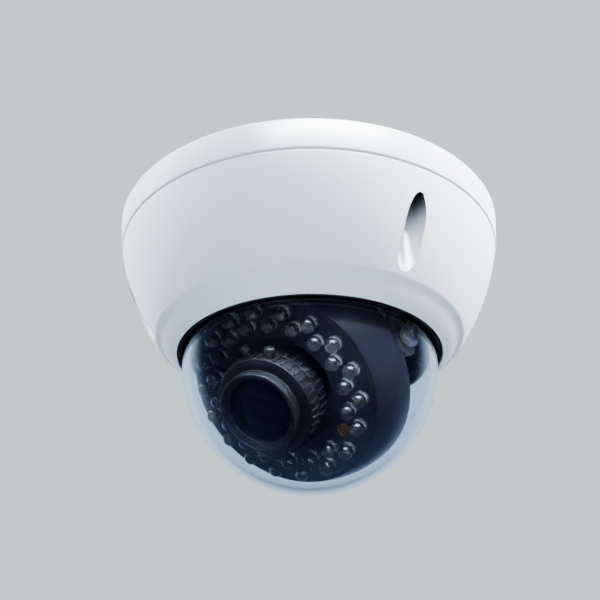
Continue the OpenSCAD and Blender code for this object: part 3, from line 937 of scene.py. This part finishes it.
class DOME_OT_bubble(bpy.types.Operator):
    """Make the clear bubble and its black gasket"""

    bl_idname = "dome.bubble"
    bl_label = "Bubble"

    def execute(self, context):
        bubble = sizes("bubble")
        centre = -bubble.centre_depth
        inner = bubble.radius - bubble.wall
        top = high("dome_bubble").z
        flange_foot = top - bubble.flange_wall
        outline = [(bubble.flange, top, 0.4 * MM), (bubble.flange, flange_foot, 0.4 * MM)]
        outline += [(bubble.radius, flange_foot, 0.4 * MM)]
        outline += arc(0, centre, bubble.radius, 0, -90, 48)
        outline += arc(0, centre, inner, -90, 0, 48)
        outline += [(inner, top, 0.3 * MM)]
        piece(spun(outline, 192), "clear_bubble", "cover", "clear_dome", ("dome_bubble",), 60)
        housing = sizes("housing")
        skirt = low("dome_gasket").z
        seat = -housing.seat_depth
        gasket = spun([
            (high("dome_gasket").x, high("dome_gasket").z, 0.2 * MM), (high("dome_gasket").x, seat, 0.2 * MM),
            (housing.mouth - 0.1 * MM, seat, 0), (housing.mouth - 0.1 * MM, skirt, 0.5 * MM),
            (bubble.radius + 0.2 * MM, skirt, 0.5 * MM), (bubble.radius + 0.2 * MM, high("dome_gasket").z, 0),
        ], 192)
        piece(gasket, "bubble_gasket", "cover", "seal_black", ("dome_gasket",))
        return {"FINISHED"}


def lamp_places():
    """Places of the outer ring of lamps and of the inner ring, which stands half a step round."""
    head = sizes("head")
    outer = around(head.ring_lamps, head.outer_ring, head.lamp_turn)
    return outer, around(head.ring_lamps, head.inner_ring, head.lamp_turn + TURN / head.ring_lamps / 2)


class DOME_OT_eyeball(bpy.types.Operator):
    """Make the black eyeball cap and the lamp face plate"""

    bl_idname = "dome.eyeball"
    bl_label = "Eyeball"

    def execute(self, context):
        head = sizes("head")
        face = math.degrees(math.asin(head.face / head.cap))
        back = math.degrees(math.asin(head.cap_back / head.cap))
        inner = head.cap - head.cap_wall
        floor = head.face - head.face_wall
        inner_face = math.degrees(math.asin(floor / inner))
        inner_back = math.degrees(math.asin(head.cap_back / inner))
        outline = arc(0, 0, head.cap, back, face, 28) + [(head.face_radius, head.face, 0.15 * MM)]
        outline += [(head.face_radius, floor, 0)] + arc(0, 0, inner, inner_face, inner_back, 20)
        cap = spun(outline, 192)
        head_piece(cap, "eyeball_shell", "gloss_black", ("eyeball_cap",), 32)
        plate = spun([
            (head.face_hole, floor, 0.2 * MM), (head.face_radius, floor, 0),
            (head.face_radius, head.face, 0.15 * MM), (head.face_hole, head.face, 0.35 * MM),
        ], 144)
        outer, inner_places = lamp_places()
        holes = placed(peg(head.lamp + 0.1 * MM, floor - MM, head.face + MM, 32), *outer, *inner_places)
        plate = carved(plate, holes)
        head_piece(plate, "lamp_face", "gloss_black", ("face_plate",), 32, 0.15 * MM)
        return {"FINISHED"}


class DOME_OT_lamps(bpy.types.Operator):
    """Make the two rings of infra-red lamps and the photocell"""

    bl_idname = "dome.lamps"
    bl_label = "Lamps"

    def execute(self, context):
        head = sizes("head")
        outer, inner = lamp_places()
        cell = inner.pop(head.photocell_place)
        foot = head.face - head.face_wall - MM
        rings = (("outer_ring_lamps", "outer_lamps", outer), ("inner_ring_lamps", "inner_lamps", inner))
        for name, node, places in rings:
            flange = head.lamp + 0.05 * MM
            outline = [(0, foot, 0), (flange, foot, 0.1 * MM), (flange, foot + MM, 0)]
            outline += [(head.lamp, foot + MM, 0)] + arc(0, head.lamp_tip, head.lamp, 0, 90, 10)
            lamp = placed(spun(outline, 28), *places)
            head_piece(lamp, name, "lamp_clear", (node,), 40)
        cup_foot = foot + 0.8 * MM
        cup = spun([
            (0, cup_foot, 0), (0.9 * MM, cup_foot, 0), (1.3 * MM, cup_foot + 1.6 * MM, 0.1 * MM),
            (1.0 * MM, cup_foot + 1.6 * MM, 0.05 * MM), (0.45 * MM, cup_foot + 0.9 * MM, 0),
            (0, cup_foot + 0.9 * MM, 0),
        ], 16, 2)
        cups = placed(cup, *(outer + inner))
        head_piece(cups, "lamp_cups", "screw_steel")
        tip = head.face + 0.6 * MM
        eye = spun([
            (0, foot, 0), (2.4 * MM, foot, 0.1 * MM), (2.4 * MM, tip, 0.25 * MM), (2.0 * MM, tip, 0.05 * MM),
            (1.95 * MM, tip - 0.15 * MM, 0.05 * MM), (0, tip - 0.1 * MM, 0),
        ], 40)
        bmesh.ops.transform(eye, matrix=lens_space() @ cell, verts=eye.verts)
        piece(eye, "light_sensor", "lens_head", "photocell_face", ("photocell",))
        return {"FINISHED"}


class DOME_OT_lens(bpy.types.Operator):
    """Make the lens barrel, its front ring and its glass"""

    bl_idname = "dome.lens"
    bl_label = "Lens"

    def execute(self, context):
        lens = sizes("lens")
        back = 9.2 * MM
        neck = lens.zoom_place - 0.3 * MM
        barrel = spun([
            (6.5 * MM, back, 0.2 * MM), (lens.barrel, back, 0.4 * MM), (lens.barrel, neck - 3 * MM, 0.2 * MM),
            (lens.barrel - 0.5 * MM, neck - 2.8 * MM, 0.1 * MM),
            (lens.barrel - 0.5 * MM, neck - 2 * MM, 0.1 * MM),
            (lens.barrel, neck - 1.8 * MM, 0.1 * MM), (lens.barrel, neck, 0.3 * MM), (lens.core, neck, 0),
            (lens.core, lens.front_place, 0), (lens.glass, lens.front_place, 0), (lens.glass, 28 * MM, 0),
            (8.6 * MM, 28 * MM, 0), (8.6 * MM, 15 * MM, 0), (6.5 * MM, 15 * MM, 0),
        ], 128)
        head_piece(barrel, "lens_tube", "lens_black", ("lens_barrel",))
        start = lens.front_place
        tip = start + lens.front_length
        steps = []
        for index in range(3):
            radius = lens.front - (1.0 + 0.55 * index) * MM
            depth = tip - (0.25 + 0.45 * index) * MM
            steps += [(radius, depth, 0.06 * MM), (radius, depth - 0.45 * MM, 0.06 * MM)]
        front = spun(
            [(lens.glass, start, 0), (lens.front, start, 0.25 * MM),
             (lens.front, start + 1.2 * MM, 0.15 * MM),
             (lens.front - 0.35 * MM, start + 1.35 * MM, 0.1 * MM),
             (lens.front - 0.35 * MM, start + 1.75 * MM, 0.1 * MM),
             (lens.front, start + 1.9 * MM, 0.15 * MM), (lens.front, tip, 0.45 * MM),
             (lens.front - MM, tip, 0.15 * MM)]
            + steps[1:] + [(lens.glass, tip - 1.9 * MM, 0.1 * MM)], 144)
        head_piece(front, "lens_rim", "lens_black", ("lens_front_ring",))
        crown = 22 * MM
        edge = math.degrees(math.acos(lens.glass / crown))
        centre = tip - 1.3 * MM - crown
        outline = [(0, start - 3.2 * MM, 0), (lens.glass, start - 3.2 * MM, 0.2 * MM)]
        outline += arc(0, centre, crown, edge, 90, 24)
        glass = spun(outline, 96)
        head_piece(glass, "front_glass", "lens_glass", ("front_element",), 40)
        return {"FINISHED"}


class DOME_OT_grips(bpy.types.Operator):
    """Make the ribbed zoom and focus rings with their thumb levers"""

    bl_idname = "dome.grips"
    bl_label = "Zoom and focus rings"

    def execute(self, context):
        lens = sizes("lens")
        rings = (
            ("zoom", "zoom_grip", "zoom_ring", "zoom_lever", lens.zoom_place, lens.zoom_turn),
            ("focus", "focus_grip", "focus_ring", "focus_lever", lens.focus_place, lens.focus_turn),
        )
        for body, name, ring_node, lever_node, start, heading in rings:
            matrix = lens_space() @ Matrix.Rotation(heading, 4, "Z")
            end = start + lens.grip_width
            skin = lens.grip - 0.6 * MM
            ring = spun([
                (lens.core + 0.06 * MM, start, 0.2 * MM), (skin, start, 0.5 * MM), (skin, end, 0.5 * MM),
                (lens.core + 0.06 * MM, end, 0.2 * MM),
            ], 128)
            rib = slab(
                (skin - 0.3 * MM, -0.5 * MM, start + 0.5 * MM), (lens.grip, 0.5 * MM, end - 0.5 * MM),
                0.25 * MM,
            )
            ribs = placed(rib, *around(lens.ribs, 0)[1:])
            whole = joined(ring, ribs)
            bmesh.ops.transform(whole, matrix=matrix, verts=whole.verts)
            piece(whole, name, body, "lens_black", (ring_node,))
            middle = (start + end) / 2
            stem = spun([
                (0, lens.grip - 3 * MM, 0), (MM, lens.grip - 3 * MM, 0), (MM, lens.grip, 0),
                (1.6 * MM, lens.grip, 0.15 * MM), (1.6 * MM, lens.grip + 2.8 * MM, 0.3 * MM),
                (0, lens.grip + 2.8 * MM, 0),
            ], 32)
            outwards = Matrix.Translation((0, 0, middle)) @ Matrix.Rotation(math.pi / 2, 4, "Y")
            bmesh.ops.transform(stem, matrix=matrix @ outwards, verts=stem.verts)
            piece(stem, name.replace("grip", "thumb_screw"), body, "screw_black", (lever_node,))
        return {"FINISHED"}


class DOME_OT_liner(bpy.types.Operator):
    """Make the black liner round the works"""

    bl_idname = "dome.liner"
    bl_label = "Liner"

    def execute(self, context):
        foot, top = low("inner_liner").z, high("inner_liner").z
        wall = 1.2 * MM
        top_radius = high("inner_liner").x
        foot_radius = top_radius - 5 * MM
        liner = spun([
            (foot_radius - wall, foot, 0.3 * MM), (foot_radius, foot, 0.3 * MM), (top_radius, top, 0.4 * MM),
            (top_radius - wall, top, 0.4 * MM),
        ], 160)
        piece(liner, "black_liner", "cover", "liner_black", ("inner_liner",))
        return {"FINISHED"}


class DOME_OT_carried(bpy.types.Operator):
    """Give the pieces that stay as they are their finishes"""

    bl_idname = "dome.carried"
    bl_label = "Finishes of carried pieces"

    def execute(self, context):
        slots = {part["node"]: part["material_slot"] for part in frame["record"]["subparts"]}
        for name, thing in frame["nodes"].items():
            thing.material_slots[0].material = finish(slots[name])
        return {"FINISHED"}


def towards(azimuth, elevation):
    """The direction at an azimuth from -Y towards +X and an elevation."""
    flat = math.cos(elevation)
    return Vector((math.sin(azimuth) * flat, -math.cos(azimuth) * flat, math.sin(elevation)))


class DOME_OT_stage(bpy.types.Operator):
    """Set up the floor, the light and the camera"""

    bl_idname = "dome.stage"
    bl_label = "Stage"

    def execute(self, context):
        stage = sizes("stage")
        mesh = bmesh.new()
        bmesh.ops.create_grid(
            mesh, x_segments=1, y_segments=1, size=stage.floor_size,
            matrix=Matrix.Translation((0, 0, -stage.floor_depth)),
        )
        data = stored(mesh, "floor")
        recipe = Recipe(bpy.data.materials.new("floor_paint"))
        recipe.set(
            Base_Color=recipe.blend(recipe.noise(3, 2), (0.6, 0.66, 0.66), (0.62, 0.68, 0.68)), Roughness=0.9
        )
        data.materials.append(recipe.owner)
        floor = linked("floor", data)
        floor.visible_glossy = False
        floor.visible_transmission = False
        self.world(stage)
        self.lights()
        self.camera(stage)
        return {"FINISHED"}

    def world(self, stage):
        """A pale backdrop for the camera. Other rays meet a high soft panel, light behind and a dark room."""
        world = bpy.data.worlds.new("studio")
        bpy.context.scene.world = world
        room = Recipe(world)
        ahead = (math.sin(stage.azimuth), -math.cos(stage.azimuth), 0)
        heading = room.node("ShaderNodeTexCoord", output="Generated")
        front = room.node(
            "ShaderNodeVectorMath", {"operation": "DOT_PRODUCT"}, {0: heading, 1: ahead}, output="Value"
        )
        height = room.node("ShaderNodeSeparateXYZ", {}, {0: heading}, output="Z")
        panel = height.fade(0.62, 0.72) * front.fade(-0.3, 0.05)
        shade = room.blend(front.fade(0.1, -0.5), stage.dark, stage.dusk)
        shade = room.blend(
            front.fade(-0.3, -0.6) * height.fade(-0.4, 0.2), shade,
            tinted(stage.behind, stage.behind_light, None),
        )
        shade = room.blend(panel, shade, tinted(stage.panel, stage.panel_light, None))
        seen = room.node("ShaderNodeLightPath", output="Is Camera Ray")
        shade = room.blend(seen, shade, tinted(stage.backdrop, stage.backdrop_light, None))
        room.feed(room.tree.nodes["Background"].inputs["Color"], shade)

    def lights(self):
        """Broad lights that don't show as reflections, and a strip that shows only as a reflection."""
        view = sizes("stage").azimuth
        for name, azimuth, elevation, distance, size, power, shade in LIGHTS:
            mirrored = name == "glint"
            lamp = bpy.data.lights.new(name, "AREA")
            lamp.shape = "ELLIPSE"
            lamp.size = size
            lamp.size_y = 0.12 if mirrored else size
            lamp.energy = power
            lamp.color = shade
            thing = linked(name, lamp)
            thing.visible_glossy = mirrored
            thing.visible_transmission = mirrored
            thing.visible_diffuse = not mirrored
            heading = view + math.radians(azimuth)
            rise = math.radians(elevation)
            spot = towards(heading, rise)
            thing.location = spot * distance + Vector((0, 0, -0.05))
            thing.rotation_euler = spot.to_track_quat("Z", "Y").to_euler()

    def camera(self, stage):
        data = bpy.data.cameras.new("view")
        data.lens = stage.lens
        data.sensor_width = 36
        data.clip_start = 0.01
        thing = linked("view", data)
        place = Matrix.Translation(towards(stage.azimuth, -stage.below) * stage.distance)
        aim = Matrix.Rotation(stage.azimuth - stage.yaw, 4, "Z")
        aim = aim @ Matrix.Rotation(math.pi / 2 + stage.pitch, 4, "X") @ Matrix.Rotation(stage.roll, 4, "Z")
        thing.matrix_world = place @ aim
        bpy.context.scene.camera = thing


# Name, azimuth from the camera, elevation, distance, size, power and colour of each soft light
LIGHTS = (
    ("key", 75, 42, 1.0, 0.5, 110, (1.0, 0.98, 1.0)),
    ("front", 0, -8, 1.2, 1.2, 22, (0.62, 0.8, 1.0)),
    ("left", -100, 40, 1.0, 0.5, 60, (0.85, 0.94, 1.0)),
    ("glint", 12, 38.5, 1.0, 1.1, 240, (0.95, 0.98, 1.0)),
)


class DOME_PT_parts(bpy.types.Panel):
    """The pieces of the dome camera"""

    bl_label = "Dome camera"
    bl_idname = "DOME_PT_parts"
    bl_space_type = "VIEW_3D"
    bl_region_type = "UI"
    bl_category = "Dome"

    def draw(self, context):
        for group in GROUPS:
            box = self.layout.box()
            box.label(text=group.replace("dome_", "").capitalize())
            for name in GROUPS[group].__annotations__:
                box.prop(getattr(context.scene, group), name)
        for operator in OPERATORS:
            self.layout.operator(operator.bl_idname)


OPERATORS = (
    DOME_OT_stage, DOME_OT_carried, DOME_OT_base, DOME_OT_cover, DOME_OT_cover_screws, DOME_OT_bubble,
    DOME_OT_liner, DOME_OT_eyeball, DOME_OT_lamps, DOME_OT_lens, DOME_OT_grips,
)


def register():
    for kind in (*GROUPS.values(), *OPERATORS, DOME_PT_parts):
        bpy.utils.register_class(kind)
    for name, group in GROUPS.items():
        setattr(bpy.types.Scene, name, PointerProperty(type=group))


def unregister():
    for name in GROUPS:
        delattr(bpy.types.Scene, name)
    for kind in reversed((*GROUPS.values(), *OPERATORS, DOME_PT_parts)):
        bpy.utils.unregister_class(kind)


def main():
    register()
    for operator in OPERATORS:
        group, name = operator.bl_idname.split(".")
        getattr(getattr(bpy.ops, group), name)()


if __name__ == "__main__":
    main()
